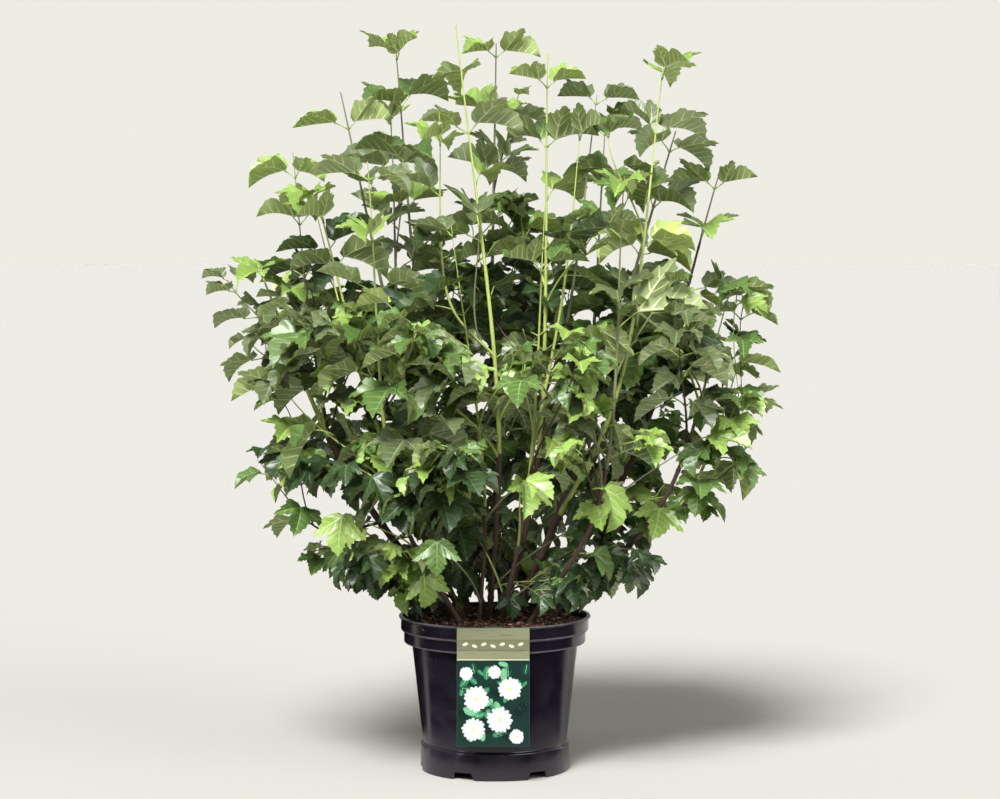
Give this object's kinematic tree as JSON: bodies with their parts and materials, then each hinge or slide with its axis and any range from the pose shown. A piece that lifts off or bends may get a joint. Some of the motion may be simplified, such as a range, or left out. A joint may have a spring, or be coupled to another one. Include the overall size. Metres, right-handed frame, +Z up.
{
  "type": "potted snowball viburnum shrub",
  "caption": "Leafy multi-stemmed shrub with upright shoots, in its round black nursery pot with soil and a hanging picture card; stands on the pot's flat base.",
  "frame": {"origin": "centre of the pot's flat underside", "axes": "+Z up, -Y towards the plant's front where the card hangs, +X to the right seen from the front"},
  "size_m": [0.8601, 0.6878, 1.0769],
  "materials": {
    "pot": "glossy near-black moulded plastic, faintly violet",
    "soil": "matt dark potting mix of peat and bark chips",
    "label": "satin printed card",
    "old_bark": "matt grey-brown bark",
    "young_bark": "smooth yellow-green young bark",
    "foliage": "satin mid-green leaves, paler and greyer beneath"
  },
  "bodies": {
    "root": {"pot": "pot", "soil": "soil", "label_card": "label", "stem_far_left": "old_bark", "stem_left": "old_bark", "stem_left_rear": "old_bark", "stem_left_centre": "old_bark", "stem_centre": "old_bark", "stem_rear_centre": "old_bark", "stem_centre_right": "old_bark", "stem_right": "old_bark", "stem_far_right": "old_bark", "stem_low_right": "old_bark", "stem_slender_left": "young_bark", "stem_slender_right": "young_bark", "stem_front_left": "young_bark", "stem_front_right": "young_bark", "stem_rear_left": "old_bark", "stem_rear_right": "old_bark", "bough_right_front": "young_bark", "foliage_core": "foliage", "foliage_low_core": "foliage", "foliage_inner_right": "foliage", "foliage_left": "foliage", "foliage_right": "foliage", "foliage_front_left": "foliage", "foliage_front_right": "foliage", "foliage_left_outer": "foliage", "foliage_right_outer": "foliage", "foliage_rear_right": "foliage", "foliage_rear": "foliage", "foliage_rear_left": "foliage", "foliage_left_rear": "foliage", "foliage_low_left": "foliage", "foliage_low_left_front": "foliage", "foliage_low_front": "foliage", "foliage_low_right_front": "foliage", "foliage_low_right": "foliage", "foliage_low_rear_right": "foliage", "foliage_low_rear": "foliage", "foliage_low_rear_left": "foliage", "foliage_skirt_left": "foliage", "foliage_skirt_front_left": "foliage", "foliage_skirt_right": "foliage", "foliage_skirt_rim": "foliage", "foliage_skirt_rear": "foliage", "foliage_top_left_centre": "foliage", "foliage_top_centre": "foliage", "foliage_top_rear": "foliage", "foliage_top_centre_right": "foliage", "foliage_top_right_centre": "foliage", "foliage_top_right": "foliage", "foliage_top_left": "foliage", "foliage_top_far_left": "foliage", "foliage_top_far_right": "foliage", "foliage_top_rear_left": "foliage", "foliage_top_rear_right": "foliage", "foliage_top_front_left": "foliage", "foliage_top_front_right": "foliage"}
  },
  "joints": []
}
